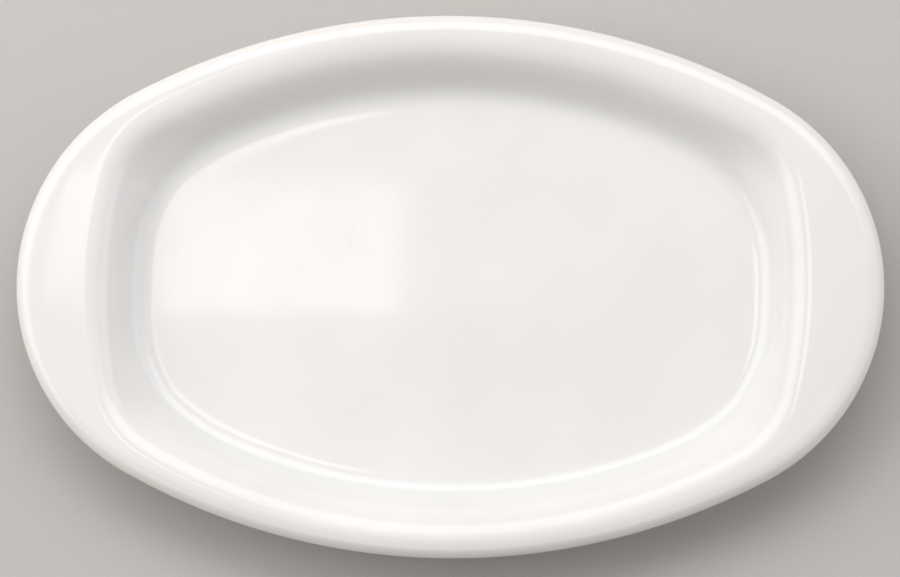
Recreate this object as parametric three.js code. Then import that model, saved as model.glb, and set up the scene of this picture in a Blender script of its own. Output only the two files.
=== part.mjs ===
// Oval serving platter in glazed porcelain. A shallow well with nearly straight ends sits inside a
// rounded oval rim, so a level crescent is left at each end as a grip. The outer edge rolls down all round.
// Millimetres, +Z up. X runs along the platter, Y across it, and Z = 0 is the table under the foot ring.

import * as THREE from 'three';

// Overall size
const LENGTH = 360;
const WIDTH = 227;
const HEIGHT = 30;

// Porcelain, finished thickness of floor, wall and grips
const WALL = 5.2;

// Rim: plan radius of its round ends, and the section of its rolled edge
const RIM_END_RADIUS = 90.7;
const ROLL_RADIUS = 7.2;
const ROLL_DEGREES = 55;

// Level land inside the rolled edge: at the middle of a long side, and the grip from lip to tip
const SIDE_LAND = 0.8;
const GRIP_DEPTH = 29;

// Lip of the well, the line where the land starts to fall: bowed end, its half length, and corner
const LIP_END_RADIUS = 220;
const LIP_END_HALF = 44;
const LIP_CORNER_RADIUS = 43;

// Floor edge: plan run of the wall at the ends and at the sides, then bowed end, half length and corner
const END_RUN = 25;
const SIDE_RUN = 27;
const FLOOR_END_RADIUS = 600;
const FLOOR_END_HALF = 11;
const FLOOR_CORNER_RADIUS = 54;

// Section radii of the wall, where it leaves the land and where it meets the floor
const CREST_RADIUS_END = 13.5;
const CREST_RADIUS_SIDE = 15.2;
const COVE_RADIUS_END = 11;
const COVE_RADIUS_SIDE = 11.6;

// Foot ring: height, set-back from the floor edge, flat contact width, face angle, fillet and edge round
const FOOT_HEIGHT = 3.6;
const FOOT_SET_BACK = 1.5;
const FOOT_CONTACT = 3;
const FOOT_FACE_DEGREES = 75;
const FOOT_FILLET = 1.2;
const FOOT_EDGE = 0.8;

// Glaze: thickness, bare band wiped above the foot's edge round, and length over which it thins out
const GLAZE = 0.4;
const WIPED_BAND = 0.6;
const GLAZE_TAPER = 0.5;

// Facets: steps along each plan arc of a quarter, then along each section arc, fewer in hollow bends
const END_STEPS = 3;
const CORNER_STEPS = 6;
const SIDE_STEPS = 5;
const WALL_STEPS = 3;
const ROLL_STEPS = 3;
const HOLLOW_STEPS = 2;
const EDGE_STEPS = 5;
const FOOT_STEPS = 2;

// A fillet takes up at most this share of the wall that it rounds, and the roll of the land that it ends
const FILLET_SHARE = 0.97;

// Times that a search halves its span, down to far below a micrometre
const HALVINGS = 60;

const QUARTERS = 4;
const HALF_TURN = Math.PI;
const QUARTER_TURN = Math.PI / 2;
const FLOOR_LEVEL = FOOT_HEIGHT + WALL;
const DEPTH = HEIGHT - FLOOR_LEVEL;
const ROLL_ANGLE = THREE.MathUtils.degToRad(ROLL_DEGREES);
const FOOT_FACE_ANGLE = THREE.MathUtils.degToRad(FOOT_FACE_DEGREES);
const EDGE_RADIUS = WALL / 2;
const ROLL_CORE = ROLL_RADIUS - EDGE_RADIUS;
const ROLL_WIDTH = ROLL_CORE * Math.sin(ROLL_ANGLE) + EDGE_RADIUS;

// A quarter of an oval with two mirror planes, as three tangent arcs: end, corner and side.
function ovalQuarter(halfLength, halfWidth, endRadius, endHalf, cornerRadius) {
  const radius = Math.min(cornerRadius, FILLET_SHARE * (halfWidth - endHalf));
  const endAngle = Math.asin(endHalf / endRadius);
  const endX = halfLength - endRadius;
  const cornerX = endX + (endRadius - radius) * Math.cos(endAngle);
  const cornerY = (endRadius - radius) * Math.sin(endAngle);
  const rise = halfWidth - cornerY;
  const sideRadius = (cornerX ** 2 + rise ** 2 - radius ** 2) / (2 * (rise - radius));
  const sideY = halfWidth - sideRadius;
  const sideAngle = Math.atan2(cornerY - sideY, cornerX);
  return {
    end: { x: endX, y: 0, radius: endRadius, from: 0, to: endAngle },
    corner: { x: cornerX, y: cornerY, radius, from: endAngle, to: sideAngle },
    side: { x: 0, y: sideY, radius: sideRadius, from: sideAngle, to: QUARTER_TURN },
  };
}

// The arc of a quarter that faces a point in the first quadrant.
function facingArc(quarter, point) {
  const { end, corner, side } = quarter;
  if (Math.atan2(point.y - end.y, point.x - end.x) < end.to) return end;
  if (Math.atan2(point.y - side.y, point.x - side.x) > side.from) return side;
  return corner;
}

// Distance from an oval to a point, positive outside.
function outside(quarter, point) {
  const mirrored = new THREE.Vector2(Math.abs(point.x), Math.abs(point.y));
  const arc = facingArc(quarter, mirrored);
  return Math.hypot(mirrored.x - arc.x, mirrored.y - arc.y) - arc.radius;
}

// How far along a direction a ray from a point crosses an oval, found by halving the span.
function crossing(quarter, point, direction, span) {
  const startsOutside = outside(quarter, point) > 0;
  let near = 0;
  let far = span;
  for (let step = 0; step < HALVINGS; step += 1) {
    const middle = (near + far) / 2;
    const trial = point.clone().addScaledVector(direction, middle);
    if (outside(quarter, trial) > 0 === startsOutside) near = middle;
    else far = middle;
  }
  return (near + far) / 2;
}

// A section cuts an oval at a slant: this much longer than square across it.
function slant(quarter, point, direction) {
  const arc = facingArc(quarter, point);
  const square = new THREE.Vector2(point.x - arc.x, point.y - arc.y).normalize();
  return 1 / square.dot(direction);
}

const lipHalfLength = LENGTH / 2 - GRIP_DEPTH;
const lipHalfWidth = WIDTH / 2 - ROLL_WIDTH - SIDE_LAND;
const rimOval = ovalQuarter(LENGTH / 2, WIDTH / 2, RIM_END_RADIUS, 0, RIM_END_RADIUS);
const lipOval = ovalQuarter(lipHalfLength, lipHalfWidth, LIP_END_RADIUS, LIP_END_HALF, LIP_CORNER_RADIUS);
const floorOval = ovalQuarter(
  lipHalfLength - END_RUN,
  lipHalfWidth - SIDE_RUN,
  FLOOR_END_RADIUS,
  FLOOR_END_HALF,
  FLOOR_CORNER_RADIUS,
);

// One upright section through the platter, square to the lip of the well, for each step round a quarter.
function stationsOfQuarter() {
  const stations = [];
  const addArc = (arc, steps, last) => {
    for (let step = 0; step < steps + (last ? 1 : 0); step += 1) {
      const angle = THREE.MathUtils.lerp(arc.from, arc.to, step / steps);
      const outward = new THREE.Vector2(Math.cos(angle), Math.sin(angle));
      const lip = new THREE.Vector2(arc.x, arc.y).addScaledVector(outward, arc.radius);
      const inward = outward.clone().negate();
      const reach = crossing(rimOval, lip, outward, LENGTH);
      const run = crossing(floorOval, lip, inward, lipHalfWidth);
      const rim = lip.clone().addScaledVector(outward, reach);
      const floor = lip.clone().addScaledVector(inward, run);
      stations.push({
        lip,
        outward,
        reach,
        run,
        rimSlant: Math.min(slant(rimOval, rim, outward), (FILLET_SHARE * reach) / ROLL_WIDTH),
        floorSlant: slant(floorOval, floor, outward),
      });
    }
  };
  addArc(lipOval.end, END_STEPS, false);
  addArc(lipOval.corner, CORNER_STEPS, false);
  addArc(lipOval.side, SIDE_STEPS, true);
  return stations;
}

// Crest and cove radii at a station, limited by the wall that they share, and the slope between them.
function wallShape(station) {
  const sideShare = station.outward.y ** 2;
  const crest = THREE.MathUtils.lerp(CREST_RADIUS_END, CREST_RADIUS_SIDE, sideShare);
  const cove = THREE.MathUtils.lerp(COVE_RADIUS_END, COVE_RADIUS_SIDE, sideShare);
  const room = (station.run ** 2 + DEPTH ** 2) / (2 * DEPTH);
  const fit = Math.min(1, (FILLET_SHARE * room) / (crest + cove));
  const both = (crest + cove) * fit;
  const climb = DEPTH - both;
  const slope = Math.asin(both / Math.hypot(station.run, climb)) + Math.atan2(climb, station.run);
  return { crest: crest * fit, cove: cove * fit, slope };
}

// Points along a section arc. The angle is that of the surface normal, from straight up towards the rim.
// A positive radius is convex, with the centre in the porcelain, and a negative one is concave.
function sectionArc(centre, radius, from, to, steps) {
  const points = [];
  for (let step = 0; step <= steps; step += 1) {
    const angle = THREE.MathUtils.lerp(from, to, step / steps);
    const normal = new THREE.Vector2(Math.sin(angle), Math.cos(angle));
    const clay = centre.clone().addScaledVector(normal, radius - GLAZE);
    points.push({ clay, glazed: clay.clone().addScaledVector(normal, GLAZE) });
  }
  return points;
}

// The glazed wall: cove, crest, and the same pair on the underside, from the floor edge to the lip.
function wallArcs(station) {
  const { crest, cove, slope } = wallShape(station);
  const coveCentre = new THREE.Vector2(-station.run, FLOOR_LEVEL + cove);
  const crestCentre = new THREE.Vector2(0, HEIGHT - crest);
  const under = HALF_TURN - slope;
  return {
    top: [
      ...sectionArc(coveCentre, -cove, 0, -slope, WALL_STEPS),
      ...sectionArc(crestCentre, crest, -slope, 0, WALL_STEPS),
    ],
    underside: [
      ...sectionArc(crestCentre, WALL - crest, HALF_TURN, under, HOLLOW_STEPS),
      ...sectionArc(coveCentre, cove + WALL, under, HALF_TURN, WALL_STEPS),
    ],
  };
}

// The rolled edge, measured inward from the rim's tip: outer roll, rounded edge and inner roll.
function rollArcs() {
  const rollCentre = new THREE.Vector2(-ROLL_WIDTH, HEIGHT - ROLL_RADIUS);
  const edgeCentre = new THREE.Vector2(
    rollCentre.x + ROLL_CORE * Math.sin(ROLL_ANGLE),
    rollCentre.y + ROLL_CORE * Math.cos(ROLL_ANGLE),
  );
  const turned = ROLL_ANGLE + HALF_TURN;
  return [
    ...sectionArc(rollCentre, ROLL_RADIUS, 0, ROLL_ANGLE, ROLL_STEPS),
    ...sectionArc(edgeCentre, EDGE_RADIUS, ROLL_ANGLE, turned, EDGE_STEPS).slice(1, -1),
    ...sectionArc(rollCentre, WALL - ROLL_RADIUS, turned, HALF_TURN, HOLLOW_STEPS),
  ];
}

// The outer half of the foot ring, measured inward from the floor edge to the middle of its flat contact.
// The glaze covers the fillet and thins out down the face, which is wiped bare above the edge round.
function footArcs() {
  const facing = HALF_TURN - FOOT_FACE_ANGLE;
  const filletCentre = new THREE.Vector2(-FOOT_SET_BACK, FOOT_HEIGHT - FOOT_FILLET);
  const fillet = sectionArc(filletCentre, -FOOT_FILLET, HALF_TURN, facing, FOOT_STEPS);
  const top = fillet[FOOT_STEPS].clay;
  const down = new THREE.Vector2(-Math.cos(FOOT_FACE_ANGLE), -Math.sin(FOOT_FACE_ANGLE));
  const normal = new THREE.Vector2(Math.sin(facing), Math.cos(facing));
  const roundTop = FOOT_EDGE * (1 - Math.cos(FOOT_FACE_ANGLE));
  const face = (top.y - roundTop) / Math.sin(FOOT_FACE_ANGLE);
  const bottom = top.clone().addScaledVector(down, face);
  const edgeCentre = bottom.clone().addScaledVector(normal, -FOOT_EDGE);
  const glazeEnd = bottom.clone().addScaledVector(down, -WIPED_BAND);
  const glazeFull = glazeEnd.clone().addScaledVector(down, -GLAZE_TAPER);
  const bare = sectionArc(edgeCentre, FOOT_EDGE + GLAZE, facing, HALF_TURN, FOOT_STEPS);
  return {
    glazed: [...fillet, { clay: glazeFull, glazed: glazeFull.clone().addScaledVector(normal, GLAZE) }],
    glazeEnd,
    bare: bare.map((point) => point.clay),
    contactMiddle: edgeCentre.x - FOOT_CONTACT / 2,
  };
}

// Carries section points, measured along a station from a mark on it, into space.
function place(station, mark, stretch, point) {
  const plan = station.lip.clone().addScaledVector(station.outward, mark + point.x * stretch);
  return new THREE.Vector3(plan.x, plan.y, point.y);
}

const roll = rollArcs();
const foot = footArcs();

// All points of one station in order, from the floor edge over the rim to the inside of the foot ring.
function stationPoints(station) {
  const wall = wallArcs(station);
  const onWall = (point) => place(station, 0, 1, point);
  const onRim = (point) => place(station, station.reach, station.rimSlant, point);
  const onFoot = (point) => place(station, -station.run, station.floorSlant, point);
  const acrossFoot = (point) => onFoot(new THREE.Vector2(2 * foot.contactMiddle - point.x, point.y));
  const both = (put) => (pair) => ({ clay: put(pair.clay), glazed: put(pair.glazed) });
  return {
    coated: [
      ...wall.top.map(both(onWall)),
      ...roll.map(both(onRim)),
      ...wall.underside.map(both(onWall)),
      ...foot.glazed.map(both(onFoot)),
    ],
    outerGlazeEnd: onFoot(foot.glazeEnd),
    bare: [...foot.bare.map(onFoot), ...foot.bare.map(acrossFoot).reverse()],
    innerGlazeEnd: acrossFoot(foot.glazeEnd),
    recess: foot.glazed.map(both(acrossFoot)).reverse(),
  };
}

// Turns a quarter's stations into one closed ring, by mirroring them across both middle planes.
function ringFrom(quarter) {
  const mirror = (xSign, ySign) => (point) => new THREE.Vector3(point.x * xSign, point.y * ySign, point.z);
  const forward = quarter.slice(0, -1);
  const backward = quarter.slice(1).reverse();
  return [
    ...forward.map(mirror(1, 1)),
    ...backward.map(mirror(-1, 1)),
    ...forward.map(mirror(-1, -1)),
    ...backward.map(mirror(1, -1)),
  ];
}

// Rings for one run of section points, each with its place along the section of the whole platter.
function ringsFrom(quarter, pick, firstPlace) {
  const columns = quarter.map(pick);
  return columns[0].map((first, row) => ({
    place: firstPlace + row,
    points: ringFrom(columns.map((column) => column[row])),
  }));
}

// Lofts a closed skin through rings, from a first pole to a last one on the middle axis.
// Facets split along diagonals that mirror from quarter to quarter and follow the rings' places,
// so two skins that share a surface split it alike, whichever way each of them runs.
function loft(firstPole, rings, lastPole) {
  const count = rings[0].points.length;
  const allPoints = [firstPole, ...rings.flatMap((ring) => ring.points), lastPole];
  const last = allPoints.length - 1;
  const index = [];
  for (let turn = 0; turn < count; turn += 1) {
    const next = (turn + 1) % count;
    const mirroredQuarter = Math.floor((QUARTERS * turn) / count) % 2 === 1;
    index.push(0, 1 + turn, 1 + next);
    for (let row = 1; row < rings.length; row += 1) {
      const here = 1 + (row - 1) * count;
      const ahead = 1 + row * count;
      const runsBack = rings[row].place < rings[row - 1].place;
      if (runsBack === mirroredQuarter) {
        index.push(here + turn, ahead + turn, ahead + next);
        index.push(here + turn, ahead + next, here + next);
      } else {
        index.push(here + turn, ahead + turn, here + next);
        index.push(ahead + turn, ahead + next, here + next);
      }
    }
    index.push(last, last - count + next, last - count + turn);
  }
  const geometry = new THREE.BufferGeometry();
  geometry.setFromPoints(allPoints);
  geometry.setIndex(index);
  geometry.computeVertexNormals();
  return geometry;
}

const quarter = stationsOfQuarter().map(stationPoints);
const { coated, bare } = quarter[0];
const outerEndPlace = coated.length;
const barePlace = outerEndPlace + 1;
const innerEndPlace = barePlace + bare.length;
const recessPlace = innerEndPlace + 1;
const coatedClay = ringsFrom(quarter, (points) => points.coated.map((pair) => pair.clay), 0);
const coatedFace = ringsFrom(quarter, (points) => points.coated.map((pair) => pair.glazed), 0);
const [outerGlazeEnd] = ringsFrom(quarter, (points) => [points.outerGlazeEnd], outerEndPlace);
const bareFoot = ringsFrom(quarter, (points) => points.bare, barePlace);
const [innerGlazeEnd] = ringsFrom(quarter, (points) => [points.innerGlazeEnd], innerEndPlace);
const recessClay = ringsFrom(quarter, (points) => points.recess.map((pair) => pair.clay), recessPlace);
const recessFace = ringsFrom(quarter, (points) => points.recess.map((pair) => pair.glazed), recessPlace);

const pole = (level) => new THREE.Vector3(0, 0, level);
const floorClay = pole(FLOOR_LEVEL - GLAZE);
const recessCeiling = pole(FOOT_HEIGHT + GLAZE);

// Fired clay in one piece: floor, wall, rim, grips and the bare foot ring.
function porcelainBody() {
  const rings = [...coatedClay, outerGlazeEnd, ...bareFoot, innerGlazeEnd, ...recessClay];
  return loft(floorClay, rings, recessCeiling);
}

// White glass over the face, round the edge and down the underside to the glaze line on the foot.
function glazeCoat() {
  const rings = [...coatedFace, outerGlazeEnd, ...coatedClay.toReversed()];
  return loft(pole(FLOOR_LEVEL), rings, floorClay);
}

// The separate pool of glaze in the recess inside the foot ring.
function baseGlaze() {
  const rings = [...recessClay.toReversed(), innerGlazeEnd, ...recessFace];
  return loft(recessCeiling, rings, pole(FOOT_HEIGHT));
}

const biscuit = new THREE.MeshStandardMaterial({ color: '#e9e4da', roughness: 0.8, metalness: 0 });
const glaze = new THREE.MeshStandardMaterial({ color: '#f4f2ef', roughness: 0.08, metalness: 0 });

function named(name, geometry, material) {
  const mesh = new THREE.Mesh(geometry, material);
  mesh.name = name;
  return mesh;
}

const platter = new THREE.Group();
platter.name = 'oval_serving_platter';
platter.add(named('porcelain_body', porcelainBody(), biscuit));
platter.add(named('glaze_coat', glazeCoat(), glaze));
platter.add(named('base_glaze', baseGlaze(), glaze));

export default platter;
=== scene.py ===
"""Oval serving platter in white glazed porcelain: fine meshes, finishes and the stage it stands on.

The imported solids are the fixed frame. Each piece follows its solid's section with a finer, softened mesh,
in metres and in the same axes: X along the platter, Y across it, Z up from the table under the foot ring.
"""

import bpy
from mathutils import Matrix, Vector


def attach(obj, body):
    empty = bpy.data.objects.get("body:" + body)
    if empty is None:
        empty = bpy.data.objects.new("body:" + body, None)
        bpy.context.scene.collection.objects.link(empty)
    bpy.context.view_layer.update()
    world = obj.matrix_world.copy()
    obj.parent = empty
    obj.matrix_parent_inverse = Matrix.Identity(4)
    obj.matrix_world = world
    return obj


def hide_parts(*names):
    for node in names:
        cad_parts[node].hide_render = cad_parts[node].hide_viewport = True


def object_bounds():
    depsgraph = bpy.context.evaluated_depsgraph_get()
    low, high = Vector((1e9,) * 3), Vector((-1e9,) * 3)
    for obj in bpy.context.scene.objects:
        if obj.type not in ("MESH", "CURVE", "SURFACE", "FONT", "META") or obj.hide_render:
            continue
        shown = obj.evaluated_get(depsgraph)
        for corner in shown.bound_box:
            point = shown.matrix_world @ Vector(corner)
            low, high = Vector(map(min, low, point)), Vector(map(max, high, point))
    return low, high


bl_info = {
    "name": "Oval serving platter",
    "version": (1, 0, 0),
    "blender": (4, 5, 0),
    "location": "View3D > Sidebar > Platter",
    "description": "Builds a glazed porcelain platter and a soft-lit stage for it",
    "category": "Add Mesh",
}

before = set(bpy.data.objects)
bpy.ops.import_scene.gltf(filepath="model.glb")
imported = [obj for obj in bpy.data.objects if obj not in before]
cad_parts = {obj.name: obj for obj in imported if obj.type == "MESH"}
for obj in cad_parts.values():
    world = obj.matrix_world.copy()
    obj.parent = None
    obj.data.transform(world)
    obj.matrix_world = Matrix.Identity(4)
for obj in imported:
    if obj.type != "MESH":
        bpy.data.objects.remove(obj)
CAD_LOW, CAD_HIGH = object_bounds()

import math
from collections import namedtuple

import bpy
import numpy as np
from mathutils import Matrix, Vector

MM = 0.001
MICRON = 0.000001
HALF_TURN = math.pi
QUARTER_TURN = math.pi / 2

# Steps along each plan arc of a quarter: end, corner and side
END_STEPS = 14
CORNER_STEPS = 28
SIDE_STEPS = 26

# Rows of the mesh along each run of a section
FLOOR_ROWS = 30
COVE_ROWS = 14
STRAIGHT_ROWS = 4
CREST_ROWS = 14
LAND_ROWS = 12
ROLL_ROWS = 12
EDGE_ROWS = 18
FILLET_ROWS = 6
FACE_ROWS = 3
CONTACT_ROWS = 4

# Passes that level the bends along a section and round the plan, as flowing glaze does, and the share
# of a bend by which each pass moves a point
SECTION_PASSES = 8
PLAN_PASSES = 6
PASS_SHARE = 0.25

# A fillet takes up at most this share of the wall that it rounds, and the roll of the land that it ends
FILLET_SHARE = 0.97

# Times that a search halves its span
HALVINGS = 50

# Bend at which the glaze is taken as fully pooled or fully thin, as a radius
POOL_RADIUS = 6 * MM


def linear(hex_colour):
    """The linear colour of an sRGB hex value such as #F3F1EE."""
    shares = [int(hex_colour[place : place + 2], 16) / 255 for place in (1, 3, 5)]
    return [s / 12.92 if s <= 0.04045 else ((s + 0.055) / 1.055) ** 2.4 for s in shares]


def size(name, description, metres):
    """A length that a user may change, kept in metres."""
    return bpy.props.FloatProperty(
        name=name,
        description=description,
        default=metres,
        min=0.0,
        precision=5,
        unit="LENGTH",
        subtype="DISTANCE",
    )


def angle(name, description, degrees):
    """An angle that a user may change."""
    return bpy.props.FloatProperty(
        name=name,
        description=description,
        default=math.radians(degrees),
        unit="ROTATION",
        subtype="ANGLE",
    )


def colour(name, description, hex_colour):
    """A colour that a user may change."""
    return bpy.props.FloatVectorProperty(
        name=name,
        description=description,
        default=linear(hex_colour),
        min=0.0,
        max=1.0,
        size=3,
        subtype="COLOR",
    )


def share(name, description, value):
    """A number from 0 to 1 that a user may change."""
    return bpy.props.FloatProperty(
        name=name,
        description=description,
        default=value,
        min=0.0,
        max=1.0,
        precision=3,
        subtype="FACTOR",
    )


def brightness(name, description, value):
    """The brightness of a light that a user may change."""
    return bpy.props.FloatProperty(
        name=name,
        description=description,
        default=value,
        min=0.0,
        precision=3,
    )


class PlatterSizes(bpy.types.PropertyGroup):
    """Plan and section of the platter."""

    length: size("Length", "From tip to tip of the end grips", CAD_HIGH.x - CAD_LOW.x)
    width: size("Width", "Across the middle, over both rolled edges", CAD_HIGH.y - CAD_LOW.y)
    height: size("Height", "From the table to the level rim", CAD_HIGH.z - CAD_LOW.z)
    wall: size("Wall", "Thickness of floor, wall and grips, glaze included", 5.2 * MM)
    rim_end_radius: size("Rim end radius", "Plan radius of the rim's round ends", 90.7 * MM)
    roll_radius: size("Roll radius", "Section radius of the rolled edge", 7.2 * MM)
    roll_angle: angle("Roll angle", "How far the edge rolls down from level", 55)
    side_land: size("Side land", "Level land at the middle of a long side", 0.8 * MM)
    grip_depth: size("Grip depth", "From the lip of the well to the tip of the rim", 29 * MM)
    lip_end_radius: size("Lip end radius", "Plan radius of the lip's bowed ends", 220 * MM)
    lip_end_half: size("Lip end half length", "Half the length of a bowed end", 44 * MM)
    lip_corner_radius: size("Lip corner radius", "Plan radius of the lip's corners", 43 * MM)
    end_run: size("End run", "Plan width of the wall at the ends", 25 * MM)
    side_run: size("Side run", "Plan width of the wall at the sides", 27 * MM)
    floor_end_radius: size("Floor end radius", "Plan radius of the floor's bowed ends", 600 * MM)
    floor_end_half: size("Floor end half length", "Half the length of the floor's bowed end", 11 * MM)
    floor_corner_radius: size("Floor corner radius", "Plan radius of the floor's corners", 54 * MM)
    crest_radius_end: size("End crest radius", "Round from the land into the end wall", 13.5 * MM)
    crest_radius_side: size("Side crest radius", "Round from the land into the side wall", 15.2 * MM)
    cove_radius_end: size("End cove radius", "Hollow between the end wall and the floor", 11 * MM)
    cove_radius_side: size("Side cove radius", "Hollow between the side wall and the floor", 11.6 * MM)
    foot_height: size("Foot height", "From the table to the recess in the foot ring", 3.6 * MM)
    foot_set_back: size("Foot set-back", "From the floor's edge in to the foot ring", 1.5 * MM)
    foot_contact: size("Foot contact", "Width of the flat ground that meets the table", 3 * MM)
    foot_face_angle: angle("Foot face angle", "Slope of the foot ring's faces", 75)
    foot_fillet: size("Foot fillet", "Hollow where the foot meets the underside", 1.2 * MM)
    foot_edge: size("Foot edge", "Round along both edges of the contact", 0.8 * MM)
    glaze: size("Glaze", "Thickness of the coat of glaze", 0.4 * MM)
    wiped_band: size("Wiped band", "Bare clay above the foot's edge round", 0.6 * MM)
    glaze_taper: size("Glaze taper", "Length over which the glaze thins out", 0.5 * MM)


class PlatterFinish(bpy.types.PropertyGroup):
    """Colours of the glaze and the bare clay, and the sizes of their patterns."""

    glaze_colour: colour("Glaze", "White glaze over the face and underside", "#F4F3F1")
    glaze_cloud: colour("Glaze cloud", "Slightly greyer drifts in the glaze", "#F0EFEC")
    pooled_colour: colour("Pooled glaze", "Cooler tint where glaze pools in hollows", "#F0F1EE")
    thin_colour: colour("Thin glaze", "Warmer tint where glaze runs thin over edges", "#F2EEE9")
    speck_colour: colour("Speck", "Iron specks fired into the glaze", "#A79A8B")
    scuff_colour: colour("Scuff", "Faint metal left by cutlery on the floor", "#E8E7E5")
    clay_colour: colour("Bare clay", "Fired clay of the ground foot ring", "#E6DFD2")
    grit_colour: colour("Clay grit", "Darker grains in the bare clay", "#D3C9B9")
    stain_colour: colour("Foot stain", "Grey rubbed into the contact by tables", "#B9B1A6")
    gloss: share("Gloss roughness", "Roughness of clean glaze", 0.04)
    handled_gloss: share("Handled roughness", "Roughness of glaze where it is smeared", 0.08)
    cloud_size: size("Cloud size", "Size of a drift in the glaze", 55 * MM)
    wave_length: size("Wave length", "Length of the slow waves left by levelling glaze", 17 * MM)
    wave_height: size("Wave height", "Height of the slow waves", 14 * MICRON)
    peel_length: size("Peel length", "Length of the fine waves in the glaze", 2.6 * MM)
    peel_height: size("Peel height", "Height of the fine waves", 1.2 * MICRON)
    speck_spacing: size("Speck spacing", "Distance between places that may hold a speck", 24 * MM)
    speck_radius: size("Speck radius", "Radius of the largest specks", 0.3 * MM)
    pinhole_spacing: size("Pinhole spacing", "Distance between places that may hold a pinhole", 19 * MM)
    pinhole_radius: size("Pinhole radius", "Radius of the pinholes", 0.35 * MM)
    pinhole_depth: size("Pinhole depth", "Depth of the pinholes", 60 * MICRON)
    scuff_length: size("Scuff length", "Length of a cutlery mark", 28 * MM)
    scuff_width: size("Scuff width", "Width of a cutlery mark", 0.35 * MM)
    grit_size: size("Grit size", "Size of a grain in the bare clay", 0.3 * MM)
    grit_height: size("Grit height", "Height of a grain in the bare clay", 25 * MICRON)


class PlatterStage(bpy.types.PropertyGroup):
    """Floor, light and camera."""

    floor_colour: colour("Floor", "Matt pale card under the platter", "#C9C7C3")
    floor_fibre: colour("Floor fibre", "Slightly darker fibres in the card", "#C4C2BE")
    fibre_size: size("Fibre size", "Size of a fibre cluster in the card", 1.5 * MM)
    floor_half: size("Floor half width", "Half the side of the square floor", 9.0)
    far_colour: colour("Far light", "Wide soft light high over the far side", "#FDFDFF")
    far_strength: brightness("Far strength", "Brightness of the far light", 2.4)
    left_colour: colour("Left light", "Broad soft light from the left and far left", "#FDFCFC")
    left_strength: brightness("Left strength", "Brightness of the left light", 2.18)
    low_colour: colour("Low light", "Slim soft light low on the left, for the right wall", "#FFFFFF")
    low_strength: brightness("Low strength", "Brightness of the low light", 0.85)
    right_colour: colour("Right light", "Soft light from the right", "#F4F6FF")
    right_strength: brightness("Right strength", "Brightness of the right light", 1.15)
    top_colour: colour("Top light", "Small soft light overhead, mirrored in the well's floor", "#FFFFFF")
    top_strength: brightness("Top strength", "Brightness of the top light", 2.6)
    below_colour: colour("Under light", "Soft light under the card, for the foot ring", "#FFFFFF")
    below_strength: brightness("Under strength", "Brightness of the under light", 3.0)
    room_colour: colour("Room", "Even light from all round", "#FBF6F4")
    room_strength: brightness("Room strength", "Brightness of the even light", 0.393)
    tilt_near: angle("Tilt", "How far the camera leans from straight above to the near side", 8.5)
    tilt_right: angle("Side tilt", "How far the camera leans to the right", 4)
    turn: angle("Turn", "How far the camera is turned about its view", 0.69)
    distance: size("Distance", "From the camera to the platter", 2.6)
    frame_width: size("Frame width", "Width of the picture at the platter", 372.3 * MM)


Arc = namedtuple("Arc", "x y radius start stop")
Stations = namedtuple("Stations", "lip outward reach run rim_slant floor_slant")
Skin = namedtuple("Skin", "face clay hollow wear")
Light = namedtuple("Light", "place across half_width half_height even")


def oval_quarter(half_length, half_width, end_radius, end_half, corner_radius):
    """First quadrant of an oval with two mirror planes, as three tangent arcs: end, corner and side."""
    radius = min(corner_radius, FILLET_SHARE * (half_width - end_half))
    end_angle = math.asin(end_half / end_radius)
    end_x = half_length - end_radius
    corner_x = end_x + (end_radius - radius) * math.cos(end_angle)
    corner_y = (end_radius - radius) * math.sin(end_angle)
    rise = half_width - corner_y
    side_radius = (corner_x**2 + rise**2 - radius**2) / (2 * (rise - radius))
    side_y = half_width - side_radius
    side_angle = math.atan2(corner_y - side_y, corner_x)
    return (
        Arc(end_x, 0.0, end_radius, 0.0, end_angle),
        Arc(corner_x, corner_y, radius, end_angle, side_angle),
        Arc(0.0, side_y, side_radius, side_angle, QUARTER_TURN),
    )


def facing_arc(oval, points):
    """Centre and radius of the arc that each first-quadrant point faces."""
    end, corner, side = oval
    x, y = points[:, 0], points[:, 1]
    faces_end = np.arctan2(y - end.y, x - end.x) < end.stop
    faces_side = np.arctan2(y - side.y, x - side.x) > side.start
    pick = np.where(faces_end, 0, np.where(faces_side, 2, 1))
    chosen = np.array([(arc.x, arc.y, arc.radius) for arc in oval])[pick]
    return chosen[:, :2], chosen[:, 2]


def outside(oval, points):
    """Distance of points from an oval, positive outside it."""
    mirrored = np.abs(points)
    centres, radii = facing_arc(oval, mirrored)
    return np.linalg.norm(mirrored - centres, axis=1) - radii


def crossing(oval, points, directions, span):
    """How far along its direction a ray from each point crosses an oval, found by halving the span."""
    starts_outside = outside(oval, points) > 0
    near = np.zeros(len(points))
    far = np.full(len(points), span)
    for _ in range(HALVINGS):
        middle = (near + far) / 2
        same = (outside(oval, points + directions * middle[:, None]) > 0) == starts_outside
        near = np.where(same, middle, near)
        far = np.where(same, far, middle)
    return (near + far) / 2


def slant(oval, points, directions):
    """How much longer a section cuts each point's place on an oval than a cut square across it."""
    centres, _ = facing_arc(oval, points)
    square = points - centres
    square /= np.linalg.norm(square, axis=1)[:, None]
    return 1 / np.sum(square * directions, axis=1)


def roll_width(sizes):
    """Plan width of the rolled edge, from where it leaves the level to the tip."""
    edge = sizes.wall / 2
    return (sizes.roll_radius - edge) * math.sin(sizes.roll_angle) + edge


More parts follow.
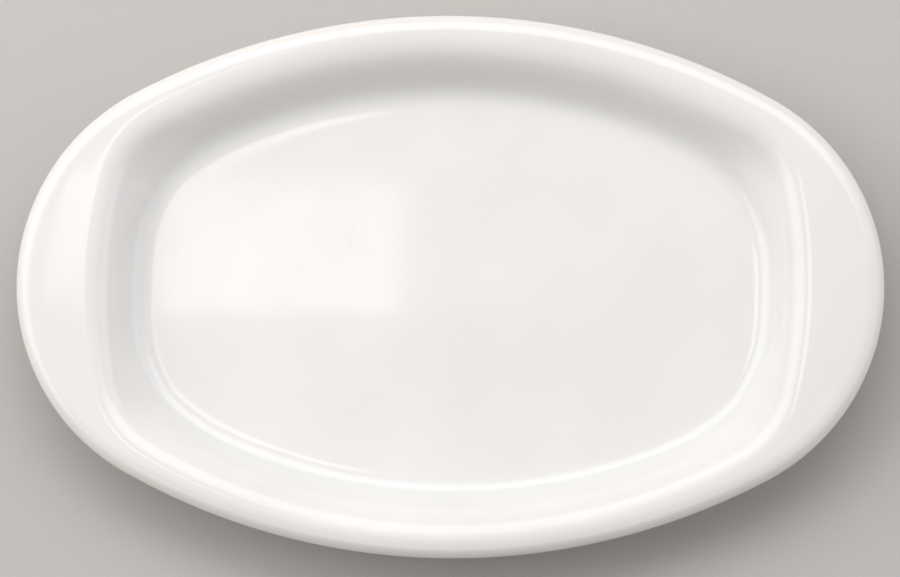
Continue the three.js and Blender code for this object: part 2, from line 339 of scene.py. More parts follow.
def quarter_stations(sizes):
    """Upright sections square to the lip of the well, spread along each plan arc of a quarter."""
    lip_length = sizes.length / 2 - sizes.grip_depth
    lip_width = sizes.width / 2 - roll_width(sizes) - sizes.side_land
    rim_radius = sizes.rim_end_radius
    rim = oval_quarter(sizes.length / 2, sizes.width / 2, rim_radius, 0.0, rim_radius)
    lip = oval_quarter(
        lip_length, lip_width, sizes.lip_end_radius, sizes.lip_end_half, sizes.lip_corner_radius
    )
    floor = oval_quarter(
        lip_length - sizes.end_run,
        lip_width - sizes.side_run,
        sizes.floor_end_radius,
        sizes.floor_end_half,
        sizes.floor_corner_radius,
    )
    points, outward = [], []
    for arc, steps in zip(lip, (END_STEPS, CORNER_STEPS, SIDE_STEPS)):
        turns = np.linspace(arc.start, arc.stop, steps, endpoint=False)
        if arc is lip[-1]:
            turns = np.append(turns, arc.stop)
        directions = np.stack([np.cos(turns), np.sin(turns)], axis=1)
        outward.append(directions)
        points.append(directions * arc.radius + (arc.x, arc.y))
    points, outward = np.concatenate(points), np.concatenate(outward)
    reach = crossing(rim, points, outward, sizes.length)[:, None]
    run = crossing(floor, points, -outward, lip_width)[:, None]
    rim_slant = slant(rim, points + outward * reach, outward)[:, None]
    rim_slant = np.minimum(rim_slant, FILLET_SHARE * reach / roll_width(sizes))
    floor_slant = slant(floor, points - outward * run, outward)[:, None]
    return Stations(points, outward, reach, run, rim_slant, floor_slant)


def arc_rows(centre_u, centre_z, radius, start, stop, rows):
    """Section points along an arc. Its angle is that of the surface normal, from straight up to the rim.

    A positive radius is convex, with its centre in the porcelain, and a negative one is concave.
    """
    turn = start + (stop - start) * np.linspace(0, 1, rows + 1)
    u, z = np.broadcast_arrays(centre_u + radius * np.sin(turn), centre_z + radius * np.cos(turn))
    return np.stack([u, z], axis=-1)


def straight_rows(first, last, rows):
    """Section points strictly between the end of one run and the start of the next."""
    shares = np.linspace(0, 1, rows + 2)[1:-1, None]
    return first[:, -1:] * (1 - shares) + last[:, :1] * shares


def wall_shape(sizes, stations):
    """Crest and cove radii at each station, limited by the wall they share, and the wall's slope."""
    depth = sizes.height - sizes.foot_height - sizes.wall
    side_share = stations.outward[:, 1:] ** 2
    crest = sizes.crest_radius_end + (sizes.crest_radius_side - sizes.crest_radius_end) * side_share
    cove = sizes.cove_radius_end + (sizes.cove_radius_side - sizes.cove_radius_end) * side_share
    room = (stations.run**2 + depth**2) / (2 * depth)
    fit = np.minimum(1, FILLET_SHARE * room / (crest + cove))
    both = (crest + cove) * fit
    climb = depth - both
    slope = np.arcsin(both / np.hypot(stations.run, climb)) + np.arctan2(climb, stations.run)
    return crest * fit, cove * fit, slope


def top_and_underside(sizes, stations):
    """Section runs of the face and of the underside, measured outward from the lip."""
    crest, cove, slope = wall_shape(sizes, stations)
    floor_level = sizes.foot_height + sizes.wall
    cove_at = (-stations.run, floor_level + cove)
    crest_at = (0.0, sizes.height - crest)
    under = HALF_TURN - slope
    top_cove = arc_rows(*cove_at, -cove, 0.0, -slope, COVE_ROWS)
    top_crest = arc_rows(*crest_at, crest, -slope, 0.0, CREST_ROWS)
    under_crest = arc_rows(*crest_at, sizes.wall - crest, HALF_TURN, under, CREST_ROWS)
    under_cove = arc_rows(*cove_at, cove + sizes.wall, under, HALF_TURN, COVE_ROWS)
    top = [top_cove, straight_rows(top_cove, top_crest, STRAIGHT_ROWS), top_crest]
    underside = [under_crest, straight_rows(under_crest, under_cove, STRAIGHT_ROWS), under_cove]
    return np.concatenate(top, axis=1), np.concatenate(underside, axis=1)


def rolled_edge(sizes, stations):
    """Section of the outer roll, the rounded edge and the inner roll, measured outward from the lip."""
    edge = sizes.wall / 2
    core = sizes.roll_radius - edge
    roll_u, roll_z = -roll_width(sizes), sizes.height - sizes.roll_radius
    turned = sizes.roll_angle + HALF_TURN
    edge_u = roll_u + core * math.sin(sizes.roll_angle)
    edge_z = roll_z + core * math.cos(sizes.roll_angle)
    outer = arc_rows(roll_u, roll_z, sizes.roll_radius, 0.0, sizes.roll_angle, ROLL_ROWS)
    rounded = arc_rows(edge_u, edge_z, edge, sizes.roll_angle, turned, EDGE_ROWS)[1:-1]
    inner = arc_rows(roll_u, roll_z, sizes.wall - sizes.roll_radius, turned, HALF_TURN, ROLL_ROWS)
    rows = np.concatenate([outer, rounded, inner])
    u = stations.reach + rows[:, 0] * stations.rim_slant
    return np.stack([u, np.broadcast_to(rows[:, 1], u.shape)], axis=-1)


def foot_outer_half(sizes):
    """Outer half of the foot ring's section, measured from the floor edge: glazed rows and bare rows.

    The glaze covers the fillet and thins out down the face, which is wiped bare above the edge round.
    """
    facing = HALF_TURN - sizes.foot_face_angle
    normal = np.array([math.sin(facing), math.cos(facing)])
    down = -np.array([math.cos(sizes.foot_face_angle), math.sin(sizes.foot_face_angle)])
    centre = np.array([-sizes.foot_set_back, sizes.foot_height - sizes.foot_fillet])
    fillet = arc_rows(*centre, -sizes.foot_fillet, HALF_TURN, facing, FILLET_ROWS)
    clay_top = centre - normal * (sizes.foot_fillet + sizes.glaze)
    round_top = sizes.foot_edge * (1 - math.cos(sizes.foot_face_angle))
    bottom = clay_top + down * (clay_top[1] - round_top) / math.sin(sizes.foot_face_angle)
    glaze_end = bottom - down * sizes.wiped_band
    full = glaze_end - down * sizes.glaze_taper + normal * sizes.glaze
    face = straight_rows(fillet[None], full[None, None], FACE_ROWS)[0]
    edge_at = bottom - normal * sizes.foot_edge
    bare = arc_rows(*edge_at, sizes.foot_edge, facing, HALF_TURN, FILLET_ROWS)
    return np.concatenate([fillet, face, full[None], glaze_end[None]]), bare


def foot_rows(sizes, stations):
    """Section runs of the foot ring, outer glazed, bare and inner glazed, outward from the lip."""
    glazed, bare = foot_outer_half(sizes)
    middle = bare[-1, 0] - sizes.foot_contact / 2

    def across(rows):
        return np.stack([2 * middle - rows[:, 0], rows[:, 1]], axis=1)[::-1]

    def placed(rows):
        u = -stations.run + rows[:, 0] * stations.floor_slant
        return np.stack([u, np.broadcast_to(rows[:, 1], u.shape)], axis=-1)

    inner_bare = across(bare)
    contact = straight_rows(bare[None], inner_bare[None], CONTACT_ROWS)[0]
    return (
        placed(glazed),
        placed(np.concatenate([bare, contact, inner_bare])),
        placed(across(glazed)),
    )


def ring_rows(stations, section):
    """Rows of points right round the platter, from a quarter's section rows and both mirror planes."""
    plan = stations.lip[:, None] + stations.outward[:, None] * section[..., :1]
    quarter = np.concatenate([plan, section[..., 1:]], axis=-1).swapaxes(0, 1)
    forward, backward = quarter[:, :-1], quarter[:, :0:-1]
    mirrored = (
        forward * (1, 1, 1),
        backward * (-1, 1, 1),
        forward * (-1, -1, 1),
        backward * (1, -1, 1),
    )
    return np.concatenate(mirrored, axis=1)


def flat_rows(outline, rows):
    """Rows of a flat disc, from next to its middle out to just inside its outline."""
    return np.stack([outline * (step / rows, step / rows, 1) for step in range(1, rows)])


def softened(rows, levelled):
    """Rows with their bends levelled along the section, where that is wanted, and round the plan."""
    rows = rows.copy()
    for _ in range(SECTION_PASSES):
        bend = rows[:-2] - 2 * rows[1:-1] + rows[2:]
        rows[1:-1] += bend * levelled[1:-1, None, None] * PASS_SHARE
    for _ in range(PLAN_PASSES):
        bend = np.roll(rows, 1, axis=1) - 2 * rows + np.roll(rows, -1, axis=1)
        rows += bend * levelled[:, None, None] * PASS_SHARE
    return rows


def row_normals(rows):
    """Outward normals of a skin whose rows run from its top middle over the rim, or on to its base."""
    along = np.gradient(rows, axis=0)
    around = np.roll(rows, -1, axis=1) - np.roll(rows, 1, axis=1)
    normals = np.cross(along, around)
    return normals / np.linalg.norm(normals, axis=2)[..., None]


def hollowness(rows, normals):
    """How far each point lies in a hollow, 1, or on an edge, -1, across its section."""
    bend = rows[:-2] + rows[2:] - 2 * rows[1:-1]
    step = np.linalg.norm(rows[2:] - rows[:-2], axis=2) / 2
    curvature = np.sum(bend * normals[1:-1], axis=2) / step**2
    inner = np.clip(curvature * POOL_RADIUS, -1, 1)
    return np.pad(inner, ((1, 1), (0, 0)))


def coated_skin(sizes, stations):
    """The glaze over face, rim and underside, down to the glaze line on the foot's outer face."""
    top, underside = top_and_underside(sizes, stations)
    edge = rolled_edge(sizes, stations)
    foot, _, _ = foot_rows(sizes, stations)
    section = [top, straight_rows(top, edge, LAND_ROWS), edge]
    section += [straight_rows(edge, underside, LAND_ROWS), underside, foot[:, 1:]]
    swept = ring_rows(stations, np.concatenate(section, axis=1))
    floor = flat_rows(swept[0], FLOOR_ROWS)

    # The foot keeps its section, and so does the rolled edge, between the middles of its two rolls
    levelled = np.ones(len(floor) + len(swept))
    levelled[-foot.shape[1] :] = 0
    first_edge = len(floor) + top.shape[1] + LAND_ROWS + ROLL_ROWS // 2
    levelled[first_edge : first_edge + ROLL_ROWS + EDGE_ROWS] = 0

    face = softened(np.concatenate([floor, swept]), levelled)
    normals = row_normals(face)
    depth = np.full(len(face), sizes.glaze)
    depth[-1] = 0.0
    wear = np.zeros(face.shape[:2])
    wear[: len(floor)] = 1.0
    return Skin(face, face - normals * depth[:, None, None], hollowness(face, normals), wear)


def recess_skin(sizes, stations):
    """The pool of glaze in the recess, from the glaze line on the foot's inner face to the middle."""
    _, _, foot = foot_rows(sizes, stations)
    swept = ring_rows(stations, foot)
    ceiling = flat_rows(swept[-1], FLOOR_ROWS)[::-1]
    face = np.concatenate([swept, ceiling])
    normals = row_normals(face)
    depth = np.full(len(face), sizes.glaze)
    depth[0] = 0.0
    wear = np.zeros(face.shape[:2])
    return Skin(face, face - normals * depth[:, None, None], hollowness(face, normals), wear)


def closed_loft(name, rows, first_level, last_level):
    """A closed mesh through rows of points, from a first pole on the middle axis to a last one."""
    count = rows.shape[1]
    poles = [(0.0, 0.0, first_level)], [(0.0, 0.0, last_level)]
    vertices = np.concatenate([poles[0], rows.reshape(-1, 3), poles[1]])
    last = len(vertices) - 1
    turn = np.arange(count)
    ahead = np.roll(turn, -1)
    base = 1 + count * np.arange(len(rows) - 1)[:, None]
    quads = np.stack([base + turn, base + count + turn, base + count + ahead, base + ahead], axis=-1)
    first_fan = np.stack([np.zeros(count, int), 1 + turn, 1 + ahead], axis=1)
    last_fan = np.stack([np.full(count, last), last - count + ahead, last - count + turn], axis=1)
    faces = [*first_fan.tolist(), *quads.reshape(-1, 4).tolist(), *last_fan.tolist()]
    mesh = bpy.data.meshes.new(name)
    mesh.from_pydata(vertices.tolist(), [], faces)
    if mesh.validate():
        raise RuntimeError(f"{name}: the loft made faces that had to be removed")
    mesh.shade_smooth()
    return mesh


def mark_points(mesh, name, rows):
    """Keeps one number per point of a loft, in rows like its points, for its material to read."""
    values = np.concatenate([rows[0, :1], rows.ravel(), rows[-1, :1]])
    attribute = mesh.attributes.new(name, "FLOAT", "POINT")
    attribute.data.foreach_set("value", values.astype(np.float32))


def add_piece(mesh, material, node):
    """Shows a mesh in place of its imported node, riding on the platter's one body."""
    mesh.materials.append(material)
    piece = bpy.data.objects.new(mesh.name, mesh)
    bpy.context.scene.collection.objects.link(piece)
    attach(piece, "root")
    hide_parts(node)


def add(tree, kind, settings=(), inputs=()):
    """Adds a node, sets its own settings, and sets each named input or links it to another's output."""
    node = tree.nodes.new(kind)
    for key, value in dict(settings).items():
        setattr(node, key, value)
    for key, value in dict(inputs).items():
        if isinstance(value, bpy.types.NodeSocket):
            tree.links.new(value, node.inputs[key])
        else:
            node.inputs[key].default_value = value
    return node


def opaque(rgb):
    """A colour as a shader socket takes it."""
    return (*rgb, 1.0)


def new_material(name):
    """An empty material and its node tree."""
    material = bpy.data.materials.get(name) or bpy.data.materials.new(name)
    material.use_nodes = True
    material.node_tree.nodes.clear()
    return material, material.node_tree


# A Mix node set for colours, and the places of its sockets
BLEND = {"data_type": "RGBA"}
FACTOR, FIRST, SECOND, BLENDED = 0, 6, 7, 2

# Refractive index of glaze and of fired clay
CERAMIC_IOR = 1.5

# Levels of a noise field between which a pattern fades in
DRIFT_BAND = (0.35, 0.65)
SMEAR_BAND = (0.4, 0.7)
SCUFF_BAND = (0.70, 0.78)
GRIT_BAND = (0.52, 0.72)
RUBBED_BAND = (0.42, 0.68)

# Hollowness between which glaze goes from even to fully pooled, and from even to fully thin
POOLED_BAND = (0.05, 1.0)
THIN_BAND = (-0.35, -1.0)

# Each cell has a random number from 0 to 1. Specks show above the first of these and are darkest from the
# second on, and pinholes show up to the third
FIRST_SPECK = 0.62
FULL_SPECK = 0.95
LAST_PINHOLE = 0.5

# Most that a speck and a stain hide of the colour under them
SPECK_COVER = 0.8
STAIN_COVER = 0.5

# Turns of the two sets of cutlery marks, in radians, and the roughness that a mark adds
SCUFF_TURNS = (0.5, 2.1)
SCUFF_ROUGHNESS = 0.12

# Size of a stain along the foot ring, in widths of its contact
STAIN_WIDTHS = 8

# Roughness of bare clay, in its hollows and on its grains
CLAY_ROUGHNESS = (0.7, 0.9)

# Roughness of the card, and the level of its reflection
CARD_ROUGHNESS = 0.9
CARD_REFLECTION = 0.2


def glazed_porcelain(finish):
    """Glazed porcelain: clear glass melted over white fired clay.

    The eye gets a bright, almost neutral white under a sharp reflection. The reflection wavers slightly,
    because the glass levelled in slow waves. The tint is cooler in hollows, where the glass pooled, and
    warmer on edges, where it ran thin. A few specks and pinholes and faint cutlery marks show close up.
    """
    material, tree = new_material("glazed_porcelain")
    place = add(tree, "ShaderNodeTexCoord").outputs["Object"]
    hollow = add(tree, "ShaderNodeAttribute", {"attribute_name": "hollow"}).outputs["Fac"]
    wear = add(tree, "ShaderNodeAttribute", {"attribute_name": "wear"}).outputs["Fac"]

    # Slow drifts of tint, then pooled and thin glaze
    cloud = add(tree, "ShaderNodeTexNoise", {}, {
        "Vector": place, "Scale": 1 / finish.cloud_size, "Detail": 2.0})
    drift = add(tree, "ShaderNodeMapRange", {}, {
        "Value": cloud.outputs["Fac"], "From Min": DRIFT_BAND[0], "From Max": DRIFT_BAND[1]})
    body = add(tree, "ShaderNodeMix", BLEND, {
        FACTOR: drift.outputs["Result"],
        FIRST: opaque(finish.glaze_colour), SECOND: opaque(finish.glaze_cloud)})
    pooled = add(tree, "ShaderNodeMapRange", {}, {
        "Value": hollow, "From Min": POOLED_BAND[0], "From Max": POOLED_BAND[1]})
    cool = add(tree, "ShaderNodeMix", BLEND, {
        FACTOR: pooled.outputs["Result"],
        FIRST: body.outputs[BLENDED], SECOND: opaque(finish.pooled_colour)})
    thinned = add(tree, "ShaderNodeMapRange", {}, {
        "Value": hollow, "From Min": THIN_BAND[0], "From Max": THIN_BAND[1]})
    warm = add(tree, "ShaderNodeMix", BLEND, {
        FACTOR: thinned.outputs["Result"],
        FIRST: cool.outputs[BLENDED], SECOND: opaque(finish.thin_colour)})

    # Iron specks in about a third of the cells
    cells = add(tree, "ShaderNodeTexVoronoi", {}, {"Vector": place, "Scale": 1 / finish.speck_spacing})
    speck_reach = finish.speck_radius / finish.speck_spacing
    dot = add(tree, "ShaderNodeMapRange", {}, {
        "Value": cells.outputs["Distance"], "From Min": speck_reach, "From Max": speck_reach / 2})
    chance = add(tree, "ShaderNodeSeparateColor", {}, {"Color": cells.outputs["Color"]})
    held = add(tree, "ShaderNodeMapRange", {}, {
        "Value": chance.outputs["Red"],
        "From Min": FIRST_SPECK, "From Max": FULL_SPECK, "To Max": SPECK_COVER})
    speck = add(tree, "ShaderNodeMath", {"operation": "MULTIPLY"}, {
        0: dot.outputs["Result"], 1: held.outputs["Result"]})
    specked = add(tree, "ShaderNodeMix", BLEND, {
        FACTOR: speck.outputs["Value"],
        FIRST: warm.outputs[BLENDED], SECOND: opaque(finish.speck_colour)})

    # Cutlery marks on the floor: two sets of long streaks, wider than hair-fine so that they show
    streaks = []
    for turn in SCUFF_TURNS:
        along = add(tree, "ShaderNodeMapping", {"vector_type": "TEXTURE"}, {
            "Vector": place,
            "Rotation": (0.0, 0.0, turn),
            "Scale": (finish.scuff_length, finish.scuff_width, finish.scuff_length)})
        streak = add(tree, "ShaderNodeTexNoise", {}, {
            "Vector": along.outputs["Vector"], "Scale": 1.0, "Detail": 1.0})
        line = add(tree, "ShaderNodeMapRange", {}, {
            "Value": streak.outputs["Fac"], "From Min": SCUFF_BAND[0], "From Max": SCUFF_BAND[1]})
        streaks.append(line.outputs["Result"])
    crossed = add(tree, "ShaderNodeMath", {"operation": "MAXIMUM"}, {0: streaks[0], 1: streaks[1]})
    patchy = add(tree, "ShaderNodeMath", {"operation": "MULTIPLY"}, {
        0: crossed.outputs["Value"], 1: drift.outputs["Result"]})
    scuff = add(tree, "ShaderNodeMath", {"operation": "MULTIPLY"}, {0: patchy.outputs["Value"], 1: wear})
    scuffed = add(tree, "ShaderNodeMix", BLEND, {
        FACTOR: scuff.outputs["Value"],
        FIRST: specked.outputs[BLENDED], SECOND: opaque(finish.scuff_colour)})

    # Gloss: clean glass, a little duller where it is smeared or scuffed
    smear = add(tree, "ShaderNodeMapRange", {}, {
        "Value": cloud.outputs["Fac"], "From Min": SMEAR_BAND[0], "From Max": SMEAR_BAND[1],
        "To Min": finish.gloss, "To Max": finish.handled_gloss})
    roughness = add(tree, "ShaderNodeMath", {"operation": "MULTIPLY_ADD"}, {
        0: scuff.outputs["Value"], 1: SCUFF_ROUGHNESS, 2: smear.outputs["Result"]})

    # Relief: slow waves, fine waves, and pinholes in about half of the cells
    waves = add(tree, "ShaderNodeTexNoise", {}, {
        "Vector": place, "Scale": 1 / finish.wave_length, "Detail": 1.0})
    waved = add(tree, "ShaderNodeBump", {}, {
        "Strength": 1.0, "Distance": finish.wave_height, "Height": waves.outputs["Fac"]})
    peel = add(tree, "ShaderNodeTexNoise", {}, {
        "Vector": place, "Scale": 1 / finish.peel_length, "Detail": 1.0})
    peeled = add(tree, "ShaderNodeBump", {}, {
        "Strength": 1.0, "Distance": finish.peel_height,
        "Height": peel.outputs["Fac"], "Normal": waved.outputs["Normal"]})
    pits = add(tree, "ShaderNodeTexVoronoi", {}, {"Vector": place, "Scale": 1 / finish.pinhole_spacing})
    pit_reach = finish.pinhole_radius / finish.pinhole_spacing
    pit = add(tree, "ShaderNodeMapRange", {"interpolation_type": "SMOOTHSTEP"}, {
        "Value": pits.outputs["Distance"], "From Min": 0.0, "From Max": pit_reach})
    pit_chance = add(tree, "ShaderNodeSeparateColor", {}, {"Color": pits.outputs["Color"]})
    no_pit = add(tree, "ShaderNodeMath", {"operation": "GREATER_THAN"}, {
        0: pit_chance.outputs["Green"], 1: LAST_PINHOLE})
    level = add(tree, "ShaderNodeMath", {"operation": "MAXIMUM"}, {
        0: pit.outputs["Result"], 1: no_pit.outputs["Value"]})
    relief = add(tree, "ShaderNodeBump", {}, {
        "Strength": 1.0, "Distance": finish.pinhole_depth,
        "Height": level.outputs["Value"], "Normal": peeled.outputs["Normal"]})

    shader = add(tree, "ShaderNodeBsdfPrincipled", {}, {
        "Base Color": scuffed.outputs[BLENDED],
        "Roughness": roughness.outputs["Value"],
        "Normal": relief.outputs["Normal"],
        "IOR": CERAMIC_IOR})
    add(tree, "ShaderNodeOutputMaterial", {}, {"Surface": shader.outputs["BSDF"]})
    return material


def bare_porcelain(finish, sizes):
    """Bare fired porcelain, ground flat: a dry, matt cream with fine grit, grey where it was rubbed."""
    material, tree = new_material("bare_fired_porcelain")
    place = add(tree, "ShaderNodeTexCoord").outputs["Object"]
    grit = add(tree, "ShaderNodeTexNoise", {}, {
        "Vector": place, "Scale": 1 / finish.grit_size, "Detail": 3.0})
    grain = add(tree, "ShaderNodeMapRange", {}, {
        "Value": grit.outputs["Fac"], "From Min": GRIT_BAND[0], "From Max": GRIT_BAND[1]})
    clay = add(tree, "ShaderNodeMix", BLEND, {
        FACTOR: grain.outputs["Result"],
        FIRST: opaque(finish.clay_colour), SECOND: opaque(finish.grit_colour)})

    # Staining fades out up the edge round, and comes and goes along the ring
    height = add(tree, "ShaderNodeSeparateXYZ", {}, {"Vector": place})
    low = add(tree, "ShaderNodeMapRange", {}, {
        "Value": height.outputs["Z"], "From Min": sizes.foot_edge, "From Max": 0.0})
    rubbed = add(tree, "ShaderNodeTexNoise", {}, {
        "Vector": place, "Scale": 1 / (STAIN_WIDTHS * sizes.foot_contact), "Detail": 4.0})
    worn = add(tree, "ShaderNodeMapRange", {}, {
        "Value": rubbed.outputs["Fac"],
        "From Min": RUBBED_BAND[0], "From Max": RUBBED_BAND[1], "To Max": STAIN_COVER})
    stain = add(tree, "ShaderNodeMath", {"operation": "MULTIPLY"}, {
        0: low.outputs["Result"], 1: worn.outputs["Result"]})
    stained = add(tree, "ShaderNodeMix", BLEND, {
        FACTOR: stain.outputs["Value"],
        FIRST: clay.outputs[BLENDED], SECOND: opaque(finish.stain_colour)})
    dry = add(tree, "ShaderNodeMapRange", {}, {
        "Value": grit.outputs["Fac"], "To Min": CLAY_ROUGHNESS[0], "To Max": CLAY_ROUGHNESS[1]})
    relief = add(tree, "ShaderNodeBump", {}, {
        "Strength": 1.0, "Distance": finish.grit_height, "Height": grit.outputs["Fac"]})
    shader = add(tree, "ShaderNodeBsdfPrincipled", {}, {
        "Base Color": stained.outputs[BLENDED],
        "Roughness": dry.outputs["Result"],
        "Normal": relief.outputs["Normal"],
        "IOR": CERAMIC_IOR})
    add(tree, "ShaderNodeOutputMaterial", {}, {"Surface": shader.outputs["BSDF"]})
    return material


def matt_card(stage):
    """Matt coated card: an even pale grey with barely visible fibres.

    Seen from below it is clear and lets light up, so that the foot ring can be looked at.
    """
    material, tree = new_material("matt_card")
    place = add(tree, "ShaderNodeTexCoord").outputs["Object"]
    fibre = add(tree, "ShaderNodeTexNoise", {}, {
        "Vector": place, "Scale": 1 / stage.fibre_size, "Detail": 2.0})
    tone = add(tree, "ShaderNodeMix", BLEND, {
        FACTOR: fibre.outputs["Fac"],
        FIRST: opaque(stage.floor_colour), SECOND: opaque(stage.floor_fibre)})
    card = add(tree, "ShaderNodeBsdfPrincipled", {}, {
        "Base Color": tone.outputs[BLENDED],
        "Roughness": CARD_ROUGHNESS,
        "Specular IOR Level": CARD_REFLECTION})
    clear = add(tree, "ShaderNodeBsdfTransparent")
    side = add(tree, "ShaderNodeNewGeometry")
    ray = add(tree, "ShaderNodeLightPath")
    below = add(tree, "ShaderNodeMath", {"operation": "MAXIMUM"}, {
        0: side.outputs["Backfacing"], 1: ray.outputs["Transparent Depth"]})
    surface = add(tree, "ShaderNodeMixShader", {}, {
        0: below.outputs["Value"], 1: card.outputs["BSDF"], 2: clear.outputs["BSDF"]})
    add(tree, "ShaderNodeOutputMaterial", {}, {"Surface": surface.outputs["Shader"]})
    return material


def lit_gauze(name, rgb, strength, light):
    """Sheer white gauze lit from behind, bright up to its even share and then fading to clear."""
    material, tree = new_material(name)
    place = add(tree, "ShaderNodeTexCoord").outputs["Object"]
    across = add(tree, "ShaderNodeVectorMath", {"operation": "DIVIDE"}, {
        0: place, 1: (light.half_width, light.half_height, 1.0)})
    spread = add(tree, "ShaderNodeVectorMath", {"operation": "ABSOLUTE"}, {0: across.outputs["Vector"]})
    sides = add(tree, "ShaderNodeSeparateXYZ", {}, {"Vector": spread.outputs["Vector"]})

    # The back stays dark, and the front fades towards all four sides
    facing = add(tree, "ShaderNodeNewGeometry")
    power = add(tree, "ShaderNodeMath", {"operation": "MULTIPLY_ADD"}, {
        0: facing.outputs["Backfacing"], 1: -strength, 2: strength})
    for side in "XY":
        fade = add(tree, "ShaderNodeMapRange", {"interpolation_type": "SMOOTHSTEP"}, {
            "Value": sides.outputs[side], "From Min": 1.0, "From Max": light.even})
        power = add(tree, "ShaderNodeMath", {"operation": "MULTIPLY"}, {
            0: power.outputs["Value"], 1: fade.outputs["Result"]})
    glow = add(tree, "ShaderNodeEmission", {}, {
        "Color": opaque(rgb), "Strength": power.outputs["Value"]})
    clear = add(tree, "ShaderNodeBsdfTransparent")
    gauze = add(tree, "ShaderNodeAddShader", {}, {0: glow.outputs["Emission"], 1: clear.outputs["BSDF"]})
    add(tree, "ShaderNodeOutputMaterial", {}, {"Surface": gauze.outputs["Shader"]})
    return material


def add_sheet(name, half_width, half_height, material, matrix):
    """A flat sheet of the stage, facing its own +Z."""
    corners = [(x * half_width, y * half_height, 0) for x, y in ((-1, -1), (1, -1), (1, 1), (-1, 1))]
    mesh = bpy.data.meshes.new(name)
    mesh.from_pydata(corners, [], [(0, 1, 2, 3)])
    mesh.materials.append(material)
    sheet = bpy.data.objects.new(name, mesh)
    sheet.matrix_world = matrix
    bpy.context.scene.collection.objects.link(sheet)
    return sheet


def looking(origin, target, right):
    """Place and turn of something at origin whose +Z points away from target, level with right."""
    back = (origin - target).normalized()
    across = (right - back * right.dot(back)).normalized()
    turn = Matrix((across, back.cross(across), back)).transposed()
    return Matrix.Translation(origin) @ turn.to_4x4()


class PLATTER_OT_porcelain_body(bpy.types.Operator):
    """Make the fired clay body, which shows only on the bare foot ring"""

    bl_idname = "platter.porcelain_body"
    bl_label = "Porcelain body"

    def execute(self, context):
        sizes = context.scene.platter_sizes
        stations = quarter_stations(sizes)
        coat, recess = coated_skin(sizes, stations), recess_skin(sizes, stations)
        _, bare, _ = foot_rows(sizes, stations)
        rows = np.concatenate([coat.clay, ring_rows(stations, bare), recess.clay])
        floor_level = sizes.foot_height + sizes.wall - sizes.glaze
        mesh = closed_loft("porcelain_body_fine", rows, floor_level, sizes.foot_height + sizes.glaze)
        material = bare_porcelain(context.scene.platter_finish, sizes)
        add_piece(mesh, material, "porcelain_body")
        return {"FINISHED"}


class PLATTER_OT_glaze_coat(bpy.types.Operator):
    """Make the coat of glaze over face, rim and underside, down to the glaze line on the foot"""

    bl_idname = "platter.glaze_coat"
    bl_label = "Glaze coat"

    def execute(self, context):
        sizes = context.scene.platter_sizes
        coat = coated_skin(sizes, quarter_stations(sizes))
        floor_level = sizes.foot_height + sizes.wall
        rows = np.concatenate([coat.face, coat.clay[-2::-1]])
        mesh = closed_loft("glaze_coat_fine", rows, floor_level, floor_level - sizes.glaze)
        mark_points(mesh, "hollow", np.concatenate([coat.hollow, coat.hollow[-2::-1]]))
        mark_points(mesh, "wear", np.concatenate([coat.wear, coat.wear[-2::-1]]))
        material = glazed_porcelain(context.scene.platter_finish)
        add_piece(mesh, material, "glaze_coat")
        return {"FINISHED"}


class PLATTER_OT_base_glaze(bpy.types.Operator):
    """Make the separate pool of glaze in the recess inside the foot ring"""

    bl_idname = "platter.base_glaze"
    bl_label = "Base glaze"

    def execute(self, context):
        sizes = context.scene.platter_sizes
        recess = recess_skin(sizes, quarter_stations(sizes))
        rows = np.concatenate([recess.clay[:0:-1], recess.face])
        mesh = closed_loft("base_glaze_fine", rows, sizes.foot_height + sizes.glaze, sizes.foot_height)
        mark_points(mesh, "hollow", np.concatenate([recess.hollow[:0:-1], recess.hollow]))
        mark_points(mesh, "wear", np.concatenate([recess.wear[:0:-1], recess.wear]))
        material = glazed_porcelain(context.scene.platter_finish)
        add_piece(mesh, material, "base_glaze")
        return {"FINISHED"}


# Level of the card, just under the foot, and the point that the camera faces
FLOOR_LEVEL = -0.2 * MM
AIM = Vector((0.7 * MM, -1.4 * MM, 26 * MM))

# Each light's place, level direction along its width, half width, half height and even share of both
LIGHTS = {
    "far": Light(Vector((0.18, 0.9, 1.31)), Vector((0.9, -0.18, 0)), 1.1, 0.62, 0.35),
    "left": Light(Vector((-1.078, 0.503, 1.071)), Vector((0.503, 1.078, 0)), 1.4, 0.75, 0.4),
    "low": Light(Vector((-1.626, 0.228, 0.44)), Vector((0.228, 1.626, 0)), 1.3, 0.27, 0.3),
    "right": Light(Vector((1.394, 0.296, 0.726)), Vector((-0.296, 1.394, 0)), 1.2, 0.6, 0.4),
    "top": Light(Vector((-0.23, 0.219, 1.3)), Vector((1, 0, 0)), 0.12, 0.045, 0.8),
    "below": Light(Vector((-0.8, 0.55, -1.0)), Vector((1, 0, 0)), 0.6, 0.6, 0.5),
}


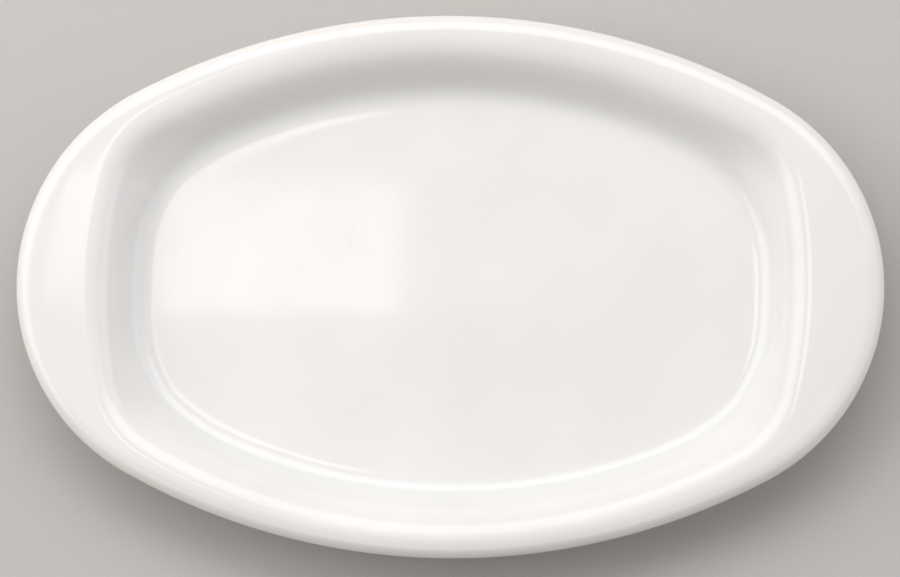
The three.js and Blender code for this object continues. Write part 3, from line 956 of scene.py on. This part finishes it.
class PLATTER_OT_stage(bpy.types.Operator):
    """Set the platter on a pale floor under soft light, with the camera almost straight above"""

    bl_idname = "platter.stage"
    bl_label = "Stage"

    def execute(self, context):
        scene, stage = context.scene, context.scene.platter_stage
        on_table = Matrix.Translation((0, 0, FLOOR_LEVEL))
        add_sheet("floor", stage.floor_half, stage.floor_half, matt_card(stage), on_table)

        # Each sheet turns its front, its own +Z, to the platter
        for name, light in LIGHTS.items():
            rgb, strength = getattr(stage, f"{name}_colour"), getattr(stage, f"{name}_strength")
            gauze = lit_gauze(f"{name}_light", rgb, strength, light)
            facing = looking(light.place, 2 * light.place, light.across)
            sheet = add_sheet(f"{name}_light", light.half_width, light.half_height, gauze, facing)
            sheet.visible_camera = False

        world = bpy.data.worlds.new("room")
        scene.world = world
        world.use_nodes = True
        tree = world.node_tree
        tree.nodes.clear()
        room = add(tree, "ShaderNodeBackground", {}, {
            "Color": opaque(stage.room_colour), "Strength": stage.room_strength})
        add(tree, "ShaderNodeOutputWorld", {}, {"Surface": room.outputs["Background"]})
        scene.view_settings.view_transform = "Standard"

        lens = bpy.data.cameras.new("camera")
        lens.lens = lens.sensor_width * stage.distance / stage.frame_width
        camera = bpy.data.objects.new("camera", lens)
        leaning = Vector((math.tan(stage.tilt_right), -math.tan(stage.tilt_near), 1.0)).normalized()
        right = Vector((math.cos(stage.turn), math.sin(stage.turn), 0.0))
        camera.matrix_world = looking(AIM + leaning * stage.distance, AIM, right)
        scene.collection.objects.link(camera)
        scene.camera = camera
        return {"FINISHED"}


class VIEW3D_PT_platter(bpy.types.Panel):
    """Sizes, finishes and pieces of the platter"""

    bl_label = "Oval serving platter"
    bl_space_type = "VIEW_3D"
    bl_region_type = "UI"
    bl_category = "Platter"

    def draw(self, context):
        for operator in OPERATORS:
            self.layout.operator(operator.bl_idname)
        for group in SETTINGS:
            box = self.layout.box()
            settings = getattr(context.scene, group)
            for name in settings.bl_rna.properties.keys():
                if name not in GIVEN_NAMES:
                    box.prop(settings, name)


# Names that every group of settings has from Blender itself
GIVEN_NAMES = {"rna_type", "name"}

SETTINGS = {
    "platter_sizes": PlatterSizes,
    "platter_finish": PlatterFinish,
    "platter_stage": PlatterStage,
}
OPERATORS = (
    PLATTER_OT_porcelain_body,
    PLATTER_OT_glaze_coat,
    PLATTER_OT_base_glaze,
    PLATTER_OT_stage,
)


def register():
    """Registers the settings, the operators and the panel."""
    for name, group in SETTINGS.items():
        bpy.utils.register_class(group)
        setattr(bpy.types.Scene, name, bpy.props.PointerProperty(type=group))
    for operator in OPERATORS:
        bpy.utils.register_class(operator)
    bpy.utils.register_class(VIEW3D_PT_platter)


def unregister():
    """Takes out what register put in."""
    bpy.utils.unregister_class(VIEW3D_PT_platter)
    for operator in reversed(OPERATORS):
        bpy.utils.unregister_class(operator)
    for name, group in reversed(SETTINGS.items()):
        delattr(bpy.types.Scene, name)
        bpy.utils.unregister_class(group)


def main():
    register()
    bpy.ops.platter.porcelain_body()
    bpy.ops.platter.glaze_coat()
    bpy.ops.platter.base_glaze()
    bpy.ops.platter.stage()


if __name__ == "__main__":
    main()
